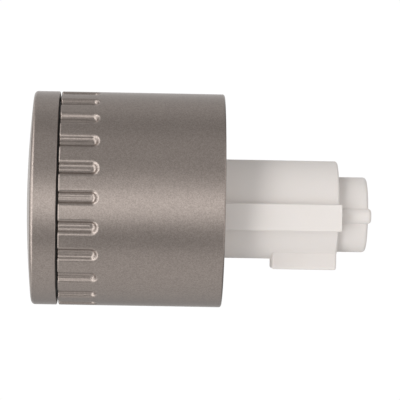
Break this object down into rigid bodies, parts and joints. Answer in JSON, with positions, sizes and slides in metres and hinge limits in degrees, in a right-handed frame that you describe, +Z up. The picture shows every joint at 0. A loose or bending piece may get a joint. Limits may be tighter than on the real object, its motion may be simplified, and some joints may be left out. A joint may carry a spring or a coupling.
{
  "type": "motorised actuator head",
  "caption": "Battery actuator head: drum with fluted turning sleeve and pressing cap on a keyed white stem; a geared motor drives a push spindle out of the stem.",
  "frame": {"origin": "on the spindle's axis, in the plane of the stem's end shoulder, where the spigot begins", "axes": "+X along the spindle, out of the stem's end; +Z up, with the drum's axis 2.7 mm above the spindle's; the stem's key faces -Y"},
  "size_m": [0.08, 0.05, 0.05],
  "materials": {
    "sleeve_finish": "satin metallic lacquer, warm nickel-taupe, fine sparkle",
    "cap_finish": "satin metallic lacquer, warm nickel-taupe, fine sparkle",
    "stem_plastic": "white engineering plastic, matt, slightly translucent",
    "barrel_plastic": "white engineering plastic, matt, slightly translucent",
    "dark_plastic": "black moulded plastic",
    "gear_plastic": "natural acetal",
    "output_plastic": "glass-filled acetal",
    "steel_plate": "zinc-plated sheet steel",
    "brass": "turned brass",
    "motor_steel": "nickel-plated drawn steel",
    "copper_lead": "tinned copper wire",
    "screw_steel": "bright steel",
    "bearing_bronze": "sintered bronze",
    "spindle_steel": "turned stainless steel",
    "tip_steel": "hardened, polished",
    "seal_rubber": "black nitrile",
    "cell_wrap": "printed film sleeve, no lettering",
    "contact_nickel": "nickel-plated strip",
    "board_laminate": "green solder resist",
    "switch_plastic": "moulded plastic",
    "shield_can": "tin-plated shield",
    "chip_plastic": "moulded epoxy",
    "spring_steel": "music wire"
  },
  "bodies": {
    "chassis": {"stem_housing": "stem_plastic", "spindle_barrel": "barrel_plastic", "spindle_guide": "brass", "spindle_seal": "seal_rubber", "inner_casing": "dark_plastic", "front_bulkhead": "dark_plastic", "middle_plate": "steel_plate", "motor_plate": "steel_plate", "plate_pillars": "brass", "motor_can": "motor_steel", "motor_end_cap": "dark_plastic", "motor_leads": "copper_lead", "motor_screws": "screw_steel", "first_stage_axle": "screw_steel", "second_stage_axle": "screw_steel", "output_bearing": "bearing_bronze", "thrust_washer": "screw_steel", "casing_screws": "screw_steel", "battery_carrier": "dark_plastic", "left_cell": "cell_wrap", "right_cell": "cell_wrap", "battery_bridge": "contact_nickel", "battery_contacts": "contact_nickel", "circuit_board": "board_laminate", "push_switch": "switch_plastic", "radio_module": "shield_can", "controller_chip": "chip_plastic", "encoder_body": "switch_plastic", "cap_springs": "spring_steel"},
    "sleeve": {"grip_sleeve": "sleeve_finish", "encoder_ring": "gear_plastic"},
    "cap": {"front_cap": "cap_finish", "cap_carrier": "dark_plastic"},
    "encoder_pinion": {"encoder_wheel": "gear_plastic"},
    "motor_rotor": {"motor_shaft": "screw_steel", "motor_pinion": "brass"},
    "first_gear": {"first_stage_gear": "gear_plastic"},
    "second_gear": {"second_stage_gear": "gear_plastic"},
    "nut_gear": {"output_gear": "output_plastic"},
    "spindle": {"push_spindle": "spindle_steel", "spindle_tip": "tip_steel"}
  },
  "joints": [
    {"name": "sleeve_turn", "type": "hinge", "parent": "chassis", "child": "sleeve", "pos_m": [-0.045, 0, 0.0027], "axis": [1, 0, 0], "continuous": true},
    {"name": "cap_press", "type": "slide", "parent": "chassis", "child": "cap", "axis": [1, 0, 0], "range_m": [0, 0.0003], "stiffness_N_per_m": 3000, "springref_m": -0.0004, "deforming": ["cap_springs"]},
    {"name": "nut_turn", "type": "hinge", "parent": "chassis", "child": "nut_gear", "pos_m": [-0.0332, 0, 0], "axis": [-1, 0, 0], "range_deg": [-10, 1454.4]},
    {"name": "second_gear_turn", "type": "hinge", "parent": "chassis", "child": "second_gear", "pos_m": [-0.038, -0.0093, -0.00466], "axis": [-1, 0, 0], "range_deg": [-4848, 10]},
    {"name": "first_gear_turn", "type": "hinge", "parent": "chassis", "child": "first_gear", "pos_m": [-0.0415, -0.0005, -0.00849], "axis": [-1, 0, 0], "range_deg": [-10, 14544]},
    {"name": "motor_turn", "type": "hinge", "parent": "chassis", "child": "motor_rotor", "pos_m": [-0.0415, 0.0075, -0.00319], "axis": [-1, 0, 0], "range_deg": [-43632, 10]},
    {"name": "spindle_push", "type": "slide", "parent": "chassis", "child": "spindle", "axis": [1, 0, 0], "range_m": [0, 0.004]},
    {"name": "encoder_turn", "type": "hinge", "parent": "chassis", "child": "encoder_pinion", "pos_m": [-0.0615, -0.01743, 0.00117], "axis": [1, 0, 0], "continuous": true}
  ],
  "couplings": [
    {"joint": "nut_turn", "follows": "spindle_push", "rad_per_m": 6283.2},
    {"joint": "second_gear_turn", "follows": "spindle_push", "rad_per_m": -20944},
    {"joint": "first_gear_turn", "follows": "spindle_push", "rad_per_m": 62832},
    {"joint": "motor_turn", "follows": "spindle_push", "rad_per_m": -188500},
    {"joint": "encoder_turn", "follows": "sleeve_turn", "ratio": 6}
  ]
}
